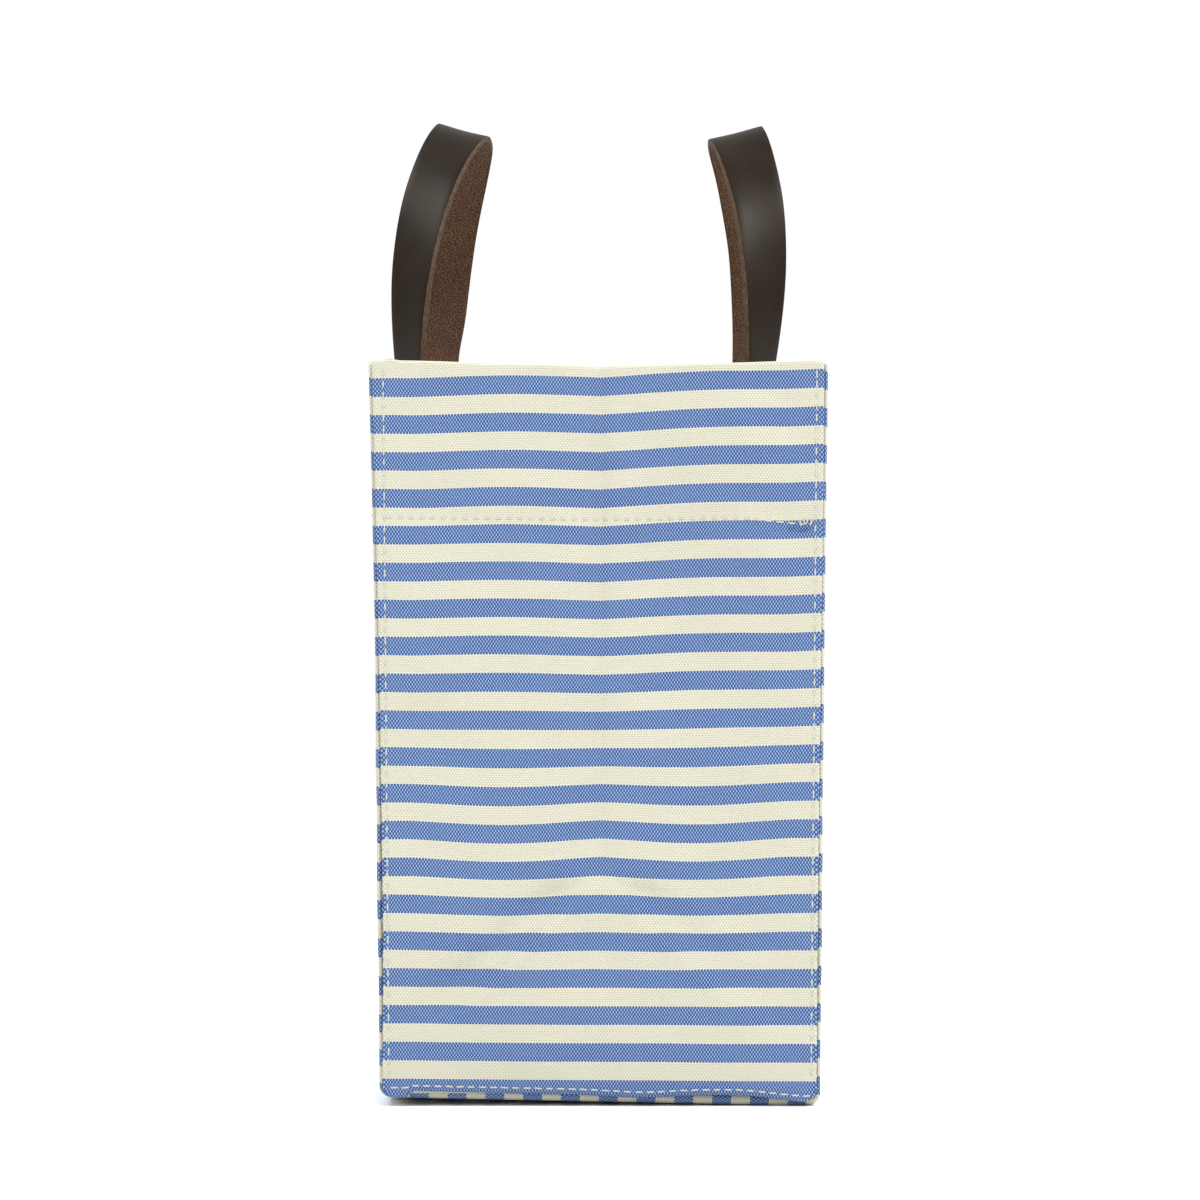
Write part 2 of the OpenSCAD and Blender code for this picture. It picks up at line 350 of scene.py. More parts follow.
def canvas(name):
    """Plain-woven striped canvas: cream yarns cross blue and cream rows, eight rows to a stripe.

    The attribute "seam" darkens the cloth where it turns into a seam: painted shade in place of the shadow
    in the seam's groove."""
    g = Graph(name)
    cloth = g.uv("cloth")
    u, v = g.split(cloth)
    drift = g.noise(cloth, 210, 1.0)
    slub = g.noise(g.join(g.mul(u, 90.0), g.mul(v, 1400.0)), 1.0, 2.0)
    across = g.add(g.math("DIVIDE", u, YARN_ACROSS), g.mul(g.sub(drift, 0.5), 0.9))
    along = g.add(g.math("DIVIDE", g.sub(v, FIRST_BLUE), YARN_ALONG), g.mul(g.sub(slub, 0.5), 0.25))
    row = g.math("FLOOR", along)
    column = g.math("FLOOR", across)
    row_sign = g.sub(1.0, g.mul(2.0, g.math("FLOORED_MODULO", row, 2.0)))
    column_sign = g.sub(1.0, g.mul(2.0, g.math("FLOORED_MODULO", column, 2.0)))

    def wave(position, sign):
        return g.mul(g.math("SINE", g.mul(position, math.pi)), sign)

    def roundness(position):
        off = g.sub(g.mul(2.0, g.math("FRACT", position)), 1.0)
        return g.math("SQRT", g.sub(1.0, g.mul(0.96, g.mul(off, off))))

    row_height = g.add(g.mul(0.5, wave(across, row_sign)), g.mul(0.7, roundness(along)))
    cross_height = g.sub(g.mul(0.7, roundness(across)), g.mul(0.5, wave(along, column_sign)))
    cross_height = g.sub(cross_height, 0.42)
    top = g.math("MAXIMUM", row_height, cross_height)
    crossing = g.ramp(g.sub(cross_height, row_height), -0.05, 0.05)
    blue = g.math("GREATER_THAN", g.math("FLOORED_MODULO", row, float(ROWS_PER_PERIOD)),
                  ROWS_PER_PERIOD / 2 - 0.5)

    fibre = g.noise(g.join(g.mul(u, 5200.0), g.mul(v, 9000.0)), 1.0, 3.0, 0.6)
    worn = g.noise(cloth, 28, 3.0)
    rub = g.ramp(g.add(g.mul(worn, 0.6), g.mul(slub, 0.4)), 0.35, 0.7)
    blue_row = g.mix(rub, BLUE_YARN, BLUE_YARN_WORN)
    cream_row = g.mix(rub, CREAM_YARN, CREAM_YARN_DULL)
    row_colour = g.mix(blue, cream_row, blue_row)
    cross_colour = g.mix(blue, CREAM_YARN_DULL, CROSS_YARN_ON_BLUE)
    colour = g.mix(crossing, row_colour, cross_colour)
    speck = g.ramp(g.pores(cloth, 160.0), 0.018, 0.034, 1.0, 0.0)
    rare = g.math("GREATER_THAN", g.noise(cloth, 75, 0.0), 0.6)
    colour = g.mix(g.mul(g.mul(speck, rare), 0.55), colour, SPECK)
    # painted shade in the weave's hollows: the lower parts of each yarn are darker; times a random fibre
    # tone
    painted_shade_and_fibre_tone = g.mul(g.ramp(top, 0.1, 1.0, 0.66, 1.08), g.ramp(fibre, 0.25, 0.75, 0.92, 1.07))
    # painted shade: the cloth darkens to 0.45 of its colour where it rolls into a seam, for the groove's
    # shadow
    turned = g.node("ShaderNodeAttribute", attribute_name="seam").outputs["Fac"]
    painted_shade_and_fibre_tone = g.mul(painted_shade_and_fibre_tone, g.ramp(turned, 0.6, 1.0, 1.0, 0.45))
    height = g.add(top, g.mul(fibre, 0.18))
    return g.finish(g.scale_colour(colour, painted_shade_and_fibre_tone), 0.88, height, 0.1 * MM, 0.5,
                    Specular_IOR_Level=0.18, Sheen_Weight=0.04, Sheen_Roughness=0.6)


def leather_grain():
    g = Graph("leather_grain")
    strap = g.uv("strap")
    mottle = g.noise(strap, 60, 3.0)
    pebble = g.noise(strap, 950, 4.0, 0.55)
    pore = g.ramp(g.pores(strap, 1500.0), 0.0, 0.35)
    crease = g.noise(g.join(*[g.mul(c, k) for c, k in zip(g.split(strap), (900.0, 160.0))]), 1.0, 2.0)
    colour = g.mix(g.ramp(mottle, 0.35, 0.7), rgb(21, 14, 8), rgb(29, 21, 13))
    rough = g.add(g.ramp(mottle, 0.3, 0.7, 0.36, 0.43), g.mul(pebble, 0.06))
    height = g.add(g.add(g.mul(pebble, 0.8), g.mul(pore, 0.5)), g.mul(crease, 0.5))
    return g.finish(colour, rough, height, 0.04 * MM, 0.5, Specular_IOR_Level=0.065,
                    Specular_Tint=(1.0, 0.88, 0.7, 1.0))


def leather_flesh():
    g = Graph("leather_flesh")
    strap = g.uv("strap")
    nap = g.noise(strap, 1500, 6.0, 0.7)
    patch = g.noise(strap, 260, 3.0)
    fibre = g.noise(g.join(*[g.mul(c, k) for c, k in zip(g.split(strap), (2300.0, 700.0))]), 1.0, 4.0, 0.7)
    tone = g.add(g.mul(nap, 0.5), g.mul(fibre, 0.5))
    grain = g.noise(strap, 2300, 2.0, 0.6)
    tone = g.add(g.mul(tone, 0.3), g.mul(grain, 0.7))
    colour = g.mix(g.ramp(tone, 0.43, 0.59), rgb(25, 12, 7), rgb(131, 99, 77))
    colour = g.mix(g.ramp(patch, 0.4, 0.75, 0.0, 0.35), colour, rgb(56, 39, 29))
    height = g.add(g.add(nap, fibre), grain)
    return g.finish(colour, 0.95, height, 0.25 * MM, 0.9, Specular_IOR_Level=0.08,
                    Sheen_Weight=0.05, Sheen_Roughness=0.5)


def leather_edge():
    g = Graph("leather_edge")
    strap = g.uv("strap")
    layer = g.noise(g.join(*[g.mul(c, k) for c, k in zip(g.split(strap), (500.0, 4000.0))]), 1.0, 4.0, 0.6)
    blotch = g.noise(strap, 320, 2.0)
    colour = g.mix(g.ramp(layer, 0.36, 0.64), rgb(34, 22, 14), rgb(98, 75, 56))
    colour = g.mix(g.ramp(blotch, 0.5, 0.8, 0.0, 0.7), colour, rgb(46, 31, 23))
    return g.finish(colour, 0.7, layer, 0.12 * MM, 0.8, Specular_IOR_Level=0.15)


def thread_material():
    g = Graph("thread")
    along, around = g.split(g.uv("thread"))
    ply = g.math("SINE", g.add(g.mul(along, 2 * math.pi / (0.55 * MM)), g.mul(around, 4 * math.pi)))
    fuzz = g.noise(g.join(g.mul(along, 6000.0), g.mul(around, 9.0)), 1.0, 3.0)
    colour = g.mix(g.ramp(ply, -1.0, 1.0), rgb(168, 166, 152), rgb(198, 196, 183))
    colour = g.scale_colour(colour, g.ramp(fuzz, 0.3, 0.7, 0.92, 1.03))
    return g.finish(colour, 0.6, g.add(ply, fuzz), 0.05 * MM, 0.8, Specular_IOR_Level=0.3)


def tape_material():
    g = Graph("binding_tape")
    along, across = g.split(g.uv("cloth"))
    line = g.add(g.mul(along, 2 * math.pi / (0.8 * MM)), g.mul(across, 2 * math.pi / (0.6 * MM)))
    chevron = g.math("PINGPONG", g.math("DIVIDE", across, 1.6 * MM), 1.0)
    twill = g.math("SINE", g.add(line, g.mul(chevron, 2.0)))
    fuzz = g.noise(g.uv("cloth"), 3500, 3.0)
    colour = g.mix(g.ramp(twill, -1.0, 1.0), rgb(163, 159, 140), rgb(188, 184, 168))
    colour = g.scale_colour(colour, g.ramp(fuzz, 0.3, 0.7, 0.93, 1.04))
    return g.finish(colour, 0.85, g.add(twill, fuzz), 0.08 * MM, 0.6, Specular_IOR_Level=0.2)


def floor_material():
    g = Graph("pale_floor")
    place = g.node("ShaderNodeTexCoord").outputs["Object"]
    tone = g.noise(place, 3.0, 2.0)
    colour = g.mix(tone, rgb(254, 254, 254), rgb(255, 255, 255))
    return g.finish(colour, 0.9, tone, 0.01 * MM, 0.1, Specular_IOR_Level=0.1)


CANVAS = canvas("striped_canvas")
GRAIN = leather_grain()
FLESH = leather_flesh()
EDGE = leather_edge()
THREAD = thread_material()
TAPE = tape_material()


# ---------------------------------------------------------------- shapes of the cloth
def half_depth(z):
    """Distance of a wide face's seam from the middle of the bag."""
    t = np.clip(z / MOUTH, 0, 1)
    return HALF_D - BASE_NARROWER * (1 - t) - 0.6 * MM * np.sin(math.pi * t)


def sag_at(sag, y):
    t = y / HALF_L
    s = STRAP_SPACING / (2 * HALF_L)
    return (1 - t * t) / (1 - s * s) * ((sag[0] + sag[1]) / 2 + (sag[1] - sag[0]) / 2 * t / s)


def lean_share(z):
    return np.clip((np.minimum(z, MOUTH) - SAG_FOOT) / (MOUTH - SAG_FOOT), 0, 1) ** 1.6


def strap_tilt(y, z):
    """The cloth turns a little with the twisting straps at the mouth."""
    total = 0
    for root, sense in ((-STRAP_SPACING / 2, 1), (STRAP_SPACING / 2, -1)):
        off = y - root
        total = total - sense * 0.16 * off * bell(off, 17 * MM) * bell(MOUTH - z, 16 * MM)
    return total


def face_distance(side, y, z):
    """Distance of a wide face's outer side from the middle; side is -1 in front and 1 behind."""
    sag = FRONT_SAG if side < 0 else BACK_SAG
    seed = 11 if side < 0 else 12
    t = np.clip(y / HALF_L, -1, 1)
    height = np.clip(z / MOUTH, 0, 1)
    belly = 3.0 * MM * np.sin(math.pi * height) * (1 - t * t)
    soft = np.sqrt(np.maximum(0, 1 - t * t)) * np.sin(math.pi * np.clip(height, 0.02, 1) ** 0.8) ** 0.5
    waves = ripple(y, z, seed, 120 * MM) * 1.7 * MM + ripple(y, z, seed + 20, 45 * MM) * 0.5 * MM
    return half_depth(z) - sag_at(sag, y) * lean_share(z) + belly + waves * soft - strap_tilt(y, z)


def dip_at(x, z):
    """How far a gusset is pushed in by its centre crease and its triangular fold."""
    u = np.clip(np.abs(x) / HALF_D, 0, 1)
    blunt = np.sqrt(u * u + 0.02 ** 2) - 0.02
    fold = FOLD_HEIGHT * (1 - u)
    apex = 6.0 * MM
    upper = (GUSSET_DIP - apex) * (1 - blunt) * np.clip((z - fold) / (MOUTH - fold), 0, 1)
    lower = apex * (1 - blunt) * np.clip(z / FOLD_HEIGHT, 0, 1)
    return upper + lower


STITCH_LINE_TOP = 70.4 * MM             # distance of the upright topstitching from the middle
STITCH_LINE_FOOT = 67.8 * MM
ROW_PHASE = 2 * math.pi / STITCH_PITCH


def stitch_line_x(z):
    return STITCH_LINE_FOOT + (STITCH_LINE_TOP - STITCH_LINE_FOOT) * z / MOUTH


def gusset_foot(x):
    """Height of the gusset's folded lower edge."""
    tilt = 1.6 * MM * np.maximum(0, -x) / HALF_D
    slack = 0.8 * MM * bell(x - 14 * MM, 12 * MM)
    left_drop = 2.1 * MM * step_up(-x, 60 * MM, 63 * MM)
    right_drop = 2.0 * MM * step_up(x, 42 * MM, 68 * MM)
    return 3.7 * MM + tilt - slack - left_drop - right_drop


def foot_stitch_z(x):
    return gusset_foot(x) + 1.75 * MM + 1.35 * MM * step_up(-x, 60 * MM, 63 * MM)


def gusset_depth(x, z, seed, end):
    """Depth of a gusset's outer side behind the bag's end: its folds, then its stitching."""
    depth = dip_at(x, z)
    u = np.abs(x) / HALF_D
    fold_line = FOLD_HEIGHT * (1 - u)
    crease_share = step_up(z, 20 * MM, 45 * MM) * step_up(FOLD_HEIGHT + 2 * MM - z, 0, 8 * MM)
    lopsided = 1.15 - 0.3 * np.clip(x * -end / HALF_D, -1, 1)
    off = (z - fold_line) / math.sqrt(2)
    depth = depth - 0.9 * MM * bell(off, 2.6 * MM) * crease_share * lopsided
    depth = depth + 2.1 * MM * bell(off - 7 * MM, 6 * MM) * crease_share * lopsided
    depth = depth + 0.8 * MM * bell(off + 14 * MM, 9 * MM) * crease_share
    above = step_up(z, FOLD_HEIGHT, FOLD_HEIGHT + 25 * MM)
    depth = depth + 0.6 * MM * bell(x, 1.5 * MM) * above
    depth = depth - 0.5 * MM * bell(np.abs(x) - 5 * MM, 4 * MM) * above
    free = step_up(1 - u, 0, 0.25) * step_up(z, 4 * MM, 30 * MM)
    waves = 1.2 * MM * ripple(x, z, seed, 75 * MM) + 0.5 * MM * ripple(x, z, seed + 1, 28 * MM)
    depth = depth + free * waves
    near = bell(np.abs(x) - stitch_line_x(z), 1.0 * MM)
    pull = 0.6 + 0.4 * np.cos(ROW_PHASE * z)
    depth = depth + 0.22 * MM * near * pull
    pucker = step_up(1 - u, 0.02, 0.06) * (1 - step_up(1 - u, 0.1, 0.25))
    depth = depth + 0.16 * MM * pucker * ripple(x * 0.4, z, seed + 2, 9 * MM)
    low = bell(z - foot_stitch_z(x), 0.9 * MM) * (0.6 + 0.4 * np.cos(ROW_PHASE * x))
    depth = depth + 0.2 * MM * low
    hem = bell(z - FACING_FOOT, 1.2 * MM) * (0.6 + 0.4 * np.cos(ROW_PHASE * x))
    crumple = bell(x + end * 65 * MM, 5 * MM) * bell(z - FACING_FOOT + 4.6 * MM, 1.6 * MM)
    depth = depth + 2.2 * MM * crumple * (end < 0)
    depth = depth + 0.12 * MM * hem - 0.25 * MM * step_up(z, FACING_FOOT + 1 * MM, FACING_FOOT + 4 * MM)
    return depth


def stripe_shift(x, z):
    """How far the weave has slipped up or down the gusset: the cloth hangs a little askew."""
    lean = (1.0 - 3.9 * z / MOUTH) * (x + 67 * MM) / (134 * MM)
    across = np.clip(1 - (x / (70 * MM)) ** 2, 0, 1)
    fold = bell(z - 85 * MM, 26 * MM)
    middle = np.sin(math.pi * np.clip(z / MOUTH, 0, 1))
    sag = middle * (0.6 + across * (1 - 0.8 * fold))
    dips = np.sin(math.pi * np.clip(np.abs(x) / (62 * MM), 0, 1)) ** 1.4
    two_dips = (1.5 * fold - 0.8 * step_up(z, 100 * MM, 150 * MM)) * dips
    return (2.35 + 0.45 * z / MOUTH + lean + sag + two_dips) * MM


def gusset_point(x, z, end, depth):
    """A point this deep in a gusset's cloth."""
    seed = 31 if end < 0 else 41
    y = end * (HALF_L - gusset_depth(x, z, seed, end) - depth)
    return np.stack(np.broadcast_arrays(x, y, z), -1)


def gusset(name, end):
    """One gusset with its edges folded under, seen from outside as end -1 or 1."""
    reach = FOLD_R + CLOTH / 2
    s = stations(-1, 1, 1.3 / 75, 9 / 75, 0.45 / 75)
    t = stations(0, 1, 1.3 / 240, 9 / 240, 0.5 / 240)
    s, t = np.meshgrid(s, t)
    left_margin = 0.9 * MM + 0.4 * MM * (1 - t) - 0.7 * MM * bell(t, 0.1)
    margin = np.where(s < 0, left_margin, 1.0 * MM + 1.3 * MM * t ** 4)
    width = half_depth(t * MOUTH) - margin - reach
    corner = np.maximum(0, np.abs(s) - 0.965) / 0.035
    rounding = 1.8 * MM * (1 - np.sqrt(np.maximum(0, 1 - corner ** 2)))
    x = s * width
    foot = gusset_foot(x) + reach + rounding
    slack = 0.7 * MM * np.maximum(0, 1 - np.abs(s)) ** 1.5 - 0.5 * MM * bell(x + 68 * MM, 2 * MM)
    z = foot + t * (MOUTH - reach - foot) - slack * t ** 12
    points = gusset_point(x, z, end, CLOTH / 2)
    uv = np.stack([x * -end, z + stripe_shift(x * -end, z)], -1)
    normals = grid_normals(points)
    normals *= -np.sign(normals[..., 1:2]) * end
    angle = np.where(t > 0.999, math.radians(115), math.radians(178))
    tuck = np.where(t > 0.999, 0.0, 3 * MM)
    return turned_sheet(name, points, uv, normals, FOLD_R, angle, tuck)


def base_lift(x, y):
    """The base doesn't lie quite flat at its corners."""
    near = step_up(-y, HALF_L - 45 * MM, HALF_L)
    far = step_up(y, HALF_L - 45 * MM, HALF_L)
    slope = np.clip((58 * MM - x) / (133 * MM), 0, 1)
    return 2.8 * MM * near * slope + 1.2 * MM * far * (1 - slope)


def body_route(n_face, n_arc, n_base):
    """The body panel's way across the bag: down the front, under the base and up the back.

    Gives for each station its part (0 front, 1 front corner, 2 base, 3 back corner, 4 back) and
    how far along that part it is."""
    parts = []
    top = FOLD_R + CLOTH / 2
    mouth_share = stations(0, 1, 1 / n_face, 0.03, 0.002)
    for share in mouth_share[:-1]:
        parts.append((0, MOUTH - top - share * (MOUTH - top - BASE_RADIUS)))
    for k in range(n_arc):
        parts.append((1, k / n_arc))
    for k in range(n_base):
        parts.append((2, k / n_base))
    for k in range(n_arc):
        parts.append((3, k / n_arc))
    for share in mouth_share:
        parts.append((4, BASE_RADIUS + share * (MOUTH - top - BASE_RADIUS)))
    return parts


def body_panel():
    """Front face, base and back face in one length of cloth."""
    inset = 3.3 * MM                    # its ends stand this far behind the gussets
    radius_wall = 1.0 * MM
    radius_base = 2.6 * MM
    parts = body_route(150, 7, 76)
    edge = HALF_L - inset
    y_line = stations(-1, 1, 2.0 / 165, 10 / 165, 0.8 / 165)
    rows = []
    for part, place in parts:
        base_share = {0: 0.0, 1: place, 2: 1.0, 3: 1 - place, 4: 0.0}[part]
        radius = radius_wall + (radius_base - radius_wall) * base_share
        y = y_line * (edge - radius)
        if part in (0, 4):
            side = -1 if part == 0 else 1
            z = np.full_like(y, place)
            x = side * (face_distance(side, y, z) - CLOTH / 2)
        else:
            r = BASE_RADIUS - CLOTH / 2
            left = -(face_distance(-1, y, BASE_RADIUS) - BASE_RADIUS)
            right = face_distance(1, y, BASE_RADIUS) - BASE_RADIUS
            if part == 2:
                x = left + (right - left) * place
                z = np.full_like(y, CLOTH / 2)
            else:
                turn = math.pi / 2 * place
                side = -1 if part == 1 else 1
                centre = left if part == 1 else right
                out, down = math.cos(turn), math.sin(turn)
                if part == 3:
                    out, down = down, out
                x = centre + side * r * out
                z = np.full_like(y, BASE_RADIUS - r * down)
        lifted = base_lift(x, y) * (1 - step_up(z, 0, 30 * MM))
        rows.append(np.stack([x, y, z + lifted], -1))
    points = np.array(rows)
    middle = points[:, points.shape[1] // 2]
    route = run_length(middle)
    part_number = np.array([p for p, _ in parts])

    def route_at(wanted_part, axis, value):
        chosen = np.where(part_number == wanted_part)[0]
        return route[chosen[np.argmin(np.abs(middle[chosen, axis] - value))]]

    low = 31 * MM
    front_start = 90 * MM
    front_slope, back_slope = 0.985, 0.987      # the faces' stripes lie this much closer
    blue_centre = FIRST_BLUE - STRIPE_PERIOD / 4
    front_low = front_start + 3.9 * MM
    base_first = blue_centre - 20 * STRIPE_PERIOD
    base_last = base_first - 10 * STRIPE_PERIOD
    back_low = base_last - 3 * STRIPE_PERIOD - 1.6 * MM
    anchors = [route_at(0, 2, front_start), route_at(2, 0, -59 * MM),
               route_at(2, 0, 63 * MM), route_at(4, 2, low)]
    values = [front_low, base_first, base_last, back_low]
    v = np.interp(route, anchors, values)
    v = np.where(route < anchors[0], front_low + (anchors[0] - route) * front_slope, v)
    v = np.where(route > anchors[3], back_low - (route - anchors[3]) * back_slope, v)
    uv = np.stack([points[..., 1], np.broadcast_to(v[:, None], points.shape[:2])], -1)
    normals = grid_normals(points)
    inward = np.array([0, 0, MOUTH / 2]) - points
    inward[..., 1] = 0
    normals *= np.sign((normals * inward).sum(-1, keepdims=True))
    base_share = np.array([{0: 0.0, 1: k, 2: 1.0, 3: 1 - k, 4: 0.0}[p] for p, k in parts])[:, None]
    radius = radius_wall + (radius_base - radius_wall) * base_share + 0 * points[..., 0]
    mouth = np.zeros(points.shape[:2], bool)
    mouth[[0, -1]] = True
    angle = np.where(mouth, math.radians(115), math.radians(90))
    radius = np.where(mouth, FOLD_R, radius)
    tuck = np.where(mouth, 0.0, 3 * MM)
    return turned_sheet("canvas_body", points, uv, normals, radius, angle, tuck)


def facing_ring(z, depth):
    """The facing's run round the mouth at one height: front, left end, back, right end."""
    y = np.linspace(-1, 1, 131)
    x = np.linspace(-1, 1, 63)[1:-1]
    l = HALF_L - depth - 1.9 * MM
    d = half_depth(z) - depth - 1.7 * MM
    reach = np.minimum(face_distance(-1, y * l, z), half_depth(z) + 1 * MM)
    front = np.stack([-(reach - depth), y * l, 0 * y + z], -1)
    back = np.stack([face_distance(1, y * l, z) - depth, y * l, 0 * y + z], -1)[::-1]
    left = gusset_point(x * d, 0 * x + z, 1, depth)
    right = gusset_point(x * d, 0 * x + z, -1, depth)[::-1]
    corner = 0.9 * MM * step_up(np.abs(x), 0.86, 0.95)
    left[:, 1] -= corner
    right[:, 1] += corner[::-1]
    return np.concatenate([front, left, back, right])


def mouth_facing():
    """A band of the same canvas inside the mouth."""
    depth = CLOTH + 0.15 * MM + CLOTH / 2
    below = FACING_FOOT - np.array([1.45, 1.2, 0.6]) * MM
    heights = np.concatenate([below, np.linspace(FACING_FOOT, MOUTH - 1.9 * MM, 40)])
    points = np.array([facing_ring(z, depth) for z in heights])
    count = points.shape[1]
    run = run_length(points[10])
    uv = np.stack([np.broadcast_to(run, points.shape[:2]), points[..., 2] + 4.3 * MM], -1)
    faces = ring_faces(np.arange(len(heights) * count).reshape(len(heights), count))
    uv_next = np.roll(uv, -1, axis=1)
    uv_next[:, -1, 0] = run[-1] + (run[1] - run[0])
    corners = np.stack([uv[:-1], uv_next[:-1], uv_next[1:], uv[1:]], 2).reshape(-1, 2)
    obj = make_object("canvas_facing", points.reshape(-1, 3), faces, corners, materials=[CANVAS])
    return thicken(obj, CLOTH)


# ---------------------------------------------------------------- stitching
def along_path(points, normals, s):
    """The places and normals at distances s along a path."""
    run = run_length(points)
    place = np.stack([np.interp(s, run, points[:, k]) for k in range(3)], -1)
    up = unit(np.stack([np.interp(s, run, normals[:, k]) for k in range(3)], -1))
    return place, up


def path_length(points):
    return float(np.linalg.norm(np.diff(points, axis=0), axis=1).sum())


def stitch_tubes(paths, seed, start=0.4 * MM):
    """Tubes of thread over rows of stitches; each path is (points, normals)."""
    draw = np.random.RandomState(seed)
    around = 8
    t = np.linspace(0, 1, 9)
    angle = np.linspace(0, 2 * math.pi, around, endpoint=False)
    points, faces, uvs = [], [], []
    total = 0
    for path, normal in paths:
        whole = path_length(path)
        s0 = start
        while s0 + STITCH_LENGTH < whole:
            mine = STITCH_LENGTH * draw.uniform(0.93, 1.05)
            s = s0 + mine * t
            place, up = along_path(path, normal, s)
            ahead = unit(np.gradient(place, axis=0))
            side = unit(np.cross(ahead, up))
            up = unit(np.cross(side, ahead))
            wobble = side * (draw.normal(0, 0.05 * MM) * np.linspace(-1, 1, len(t)))[:, None]
            arch = np.sin(math.pi * t) ** 0.5
            centre = place + wobble + up * ((-0.30 * MM + 0.44 * MM * arch)[:, None])
            size = THREAD_R * (0.8 + 0.2 * arch)[:, None, None]
            ring = centre[:, None] + size * (np.cos(angle)[None, :, None] * side[:, None]
                                             + 0.85 * np.sin(angle)[None, :, None] * up[:, None])
            points.append(ring.reshape(-1, 3))
            faces.append(ring_faces(total + np.arange(len(t) * around).reshape(len(t), around)))
            uvs.append(grid_corners(s, np.linspace(0, 1, around + 1)))
            total += len(t) * around
            s0 += STITCH_PITCH * draw.uniform(0.97, 1.03)
    return np.concatenate(points), np.concatenate(faces), np.concatenate(uvs)


def sew(name, paths, **how):
    """A piece of thread: every stitch of some rows."""
    points, faces, uvs = stitch_tubes(paths, **how)
    return make_object(name, points, faces, uvs, layer="thread", materials=[THREAD])


def surface_path(place, a, b, outward):
    """Points and outward normals along a run (a, b) on the surface place(a, b)."""
    h = 0.4 * MM
    p = place(a, b)
    da = place(a + h, b) - place(a - h, b)
    db = place(a, b + h) - place(a, b - h)
    n = unit(np.cross(da, db))
    n *= np.sign((n * outward).sum(-1, keepdims=True))
    return p, n


def gusset_surface(end):
    return lambda x, z: gusset_point(x, z, end, 0)


def face_surface(side):
    def place(y, z):
        return np.stack(np.broadcast_arrays(side * face_distance(side, y, z), y, z), -1)
    return place


def gusset_stitching(name, end):
    """Topstitching down both sides and along the foot of a gusset."""
    z = np.linspace(MOUTH - 2.2 * MM, 8 * MM, 240)
    surface = gusset_surface(end)
    outward = np.array([0, end, 0])
    paths = [surface_path(surface, side * stitch_line_x(z), z, outward) for side in (-1, 1)]
    x = np.linspace(-68.5 * MM, 68.5 * MM, 200)
    paths.append(surface_path(surface, x, foot_stitch_z(x), outward))
    return sew(name, paths, seed=7 + end, start=1.0 * MM)


def facing_stitching():
    """The row that holds the facing's foot, with a back-tack at one corner."""
    paths = []
    for side in (-1, 1):
        y = np.linspace(-HALF_L + 4 * MM, HALF_L - 4 * MM, 400)
        z = np.full_like(y, FACING_FOOT + 0.3 * MM)
        paths.append(surface_path(face_surface(side), y, z, np.array([side, 0, 0])))
    for end in (-1, 1):
        x = np.linspace(-70 * MM, 70 * MM, 200)
        z = FACING_FOOT - 0.8 * MM - 2.0 * MM * step_up(x * -end, 40 * MM, 68 * MM)
        paths.append(surface_path(gusset_surface(end), x, z, np.array([0, end, 0])))
    turns = 7
    k = np.linspace(0, turns, 60)
    zig = np.abs((k % 2) - 1) - 0.5
    x = 64.5 * MM + 5.0 * MM * k / turns
    z = FACING_FOOT - 2.4 * MM + 2.0 * MM * zig
    paths.append(surface_path(gusset_surface(-1), x, z, np.array([0, -1, 0])))
    return sew("thread_facing_foot", paths, seed=21)


def box_and_cross(surface, y, low, high, half, outward):
    """Paths of a stitched box with a cross in it."""
    corners = [(y - half, low), (y + half, low), (y + half, high), (y - half, high)]
    box = list(zip(corners, corners[1:] + corners[:1]))
    runs = box + [(corners[0], corners[2]), (corners[1], corners[3])]
    paths = []
    for (y0, z0), (y1, z1) in runs:
        t = np.linspace(0, 1, 60)
        paths.append(surface_path(surface, y0 + (y1 - y0) * t, z0 + (z1 - z0) * t, outward))
    return paths


def handle_stitching(name, side):
    """Box and cross stitching at a strap's two ends, outside the face and inside on the leather."""
    low = TAIL_FOOT + 3 * MM
    high = MOUTH - 3.5 * MM
    half = STRAP_W / 2 - 3 * MM
    paths = []
    for root in (-1, 1):
        y = root * STRAP_SPACING / 2
        paths += box_and_cross(face_surface(side), y, low, high, half, np.array([side, 0, 0]))
        paths += box_and_cross(strap_inner_surface(side), y, low, high, half, np.array([-side, 0, 0]))
    return sew(name, paths, seed=51 + side, start=0.5 * MM)


# ---------------------------------------------------------------- leather straps
LEG_TUCK = 0.15
# For each handle: reach and height of its top, how far its near and far legs bow out, how far
# they stay turned along the bag, how fast that turn goes, and how far the top tips inward.
ARCHES = {-1: (50.1 * MM, 341.7 * MM, (1.2 * MM, 2.3 * MM), (60.5, 57), (0.7, 1.3), 21.5),
          1: (50.0 * MM, 340.8 * MM, (3.0 * MM, 4.8 * MM), (63, 61.5), (0.85, 1.9), 19)}


def strap_depth():
    """Depth of a sewn strap's middle behind the face's outer side."""
    return 2 * CLOTH + 0.3 * MM + STRAP_T / 2


def strap_inner_surface(side):
    """The bare side of a sewn strap end, inside the bag."""
    reach = strap_depth() + STRAP_T / 2

    def place(y, z):
        x = side * (face_distance(side, y, z) - reach)
        return np.stack(np.broadcast_arrays(x, y, z), -1)
    return place


